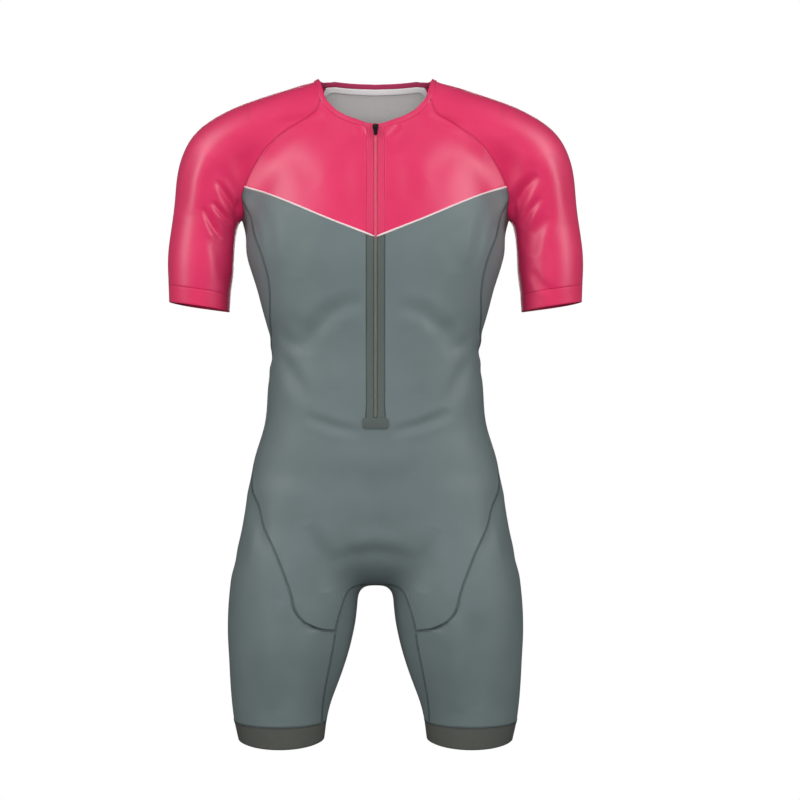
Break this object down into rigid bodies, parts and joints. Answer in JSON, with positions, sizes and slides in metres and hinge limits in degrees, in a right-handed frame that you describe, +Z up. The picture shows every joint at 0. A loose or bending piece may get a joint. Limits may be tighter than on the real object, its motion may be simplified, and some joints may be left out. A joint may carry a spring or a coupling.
{
  "type": "triathlon suit",
  "caption": "One-piece short-sleeved triathlon suit in worn form: pink yoke and raglan sleeves, slate grey body and legs, V chest seam with white piping, front zip and gripper leg bands.",
  "frame": {"origin": "where the wearer's shoulders carry the suit, midway between the two shoulder tops at the side of the neck", "axes": "+Z up along the body, -Y to the front of the suit, +X to the wearer's left"},
  "size_m": [0.5798, 0.2352, 0.927],
  "materials": {
    "pink_knit": "matt stretch knit with a soft sheen, raspberry pink",
    "sleeve_cuff": "smooth bonded stretch hem, raspberry pink",
    "neck_binding": "folded stretch binding, deep pink",
    "neck_tape": "flat woven tape, off white",
    "grey_knit": "matt stretch knit with a soft sheen, slate grey",
    "leg_gripper": "elastic gripper band, dark warm grey",
    "white_piping": "thin corded piping, white",
    "zip_tape_pink": "zip tape, pink",
    "zip_tape_grey": "zip tape, dark grey",
    "zip_coil": "moulded nylon zip coil, warm grey",
    "zip_tab": "bonded end tab, charcoal",
    "zip_metal": "die-cast slider and pull, dark lacquer"
  },
  "bodies": {
    "suit": {"front_yoke_left": "pink_knit", "front_yoke_right": "pink_knit", "back_yoke": "pink_knit", "neck_tape": "neck_tape", "neck_binding": "neck_binding", "sleeve_left": "pink_knit", "sleeve_right": "pink_knit", "sleeve_cuff_left": "sleeve_cuff", "sleeve_cuff_right": "sleeve_cuff", "front_body": "grey_knit", "back_body": "grey_knit", "leg_panel_left": "grey_knit", "leg_panel_right": "grey_knit", "inner_leg_panel": "grey_knit", "leg_band_left": "leg_gripper", "leg_band_right": "leg_gripper", "piping_left": "white_piping", "piping_right": "white_piping", "zip_tape_upper_left": "zip_tape_pink", "zip_tape_upper_right": "zip_tape_pink", "zip_tape_lower_left": "zip_tape_grey", "zip_tape_lower_right": "zip_tape_grey", "zip_coil": "zip_coil", "zip_end_tab": "zip_tab", "zip_slider": "zip_metal"},
    "pull": {"zip_pull": "zip_metal"}
  },
  "joints": [
    {"name": "pull_swing", "type": "hinge", "parent": "suit", "child": "pull", "pos_m": [0, -0.07332, -0.05794], "axis": [-1, 0, 0], "range_deg": [0, 165]}
  ]
}
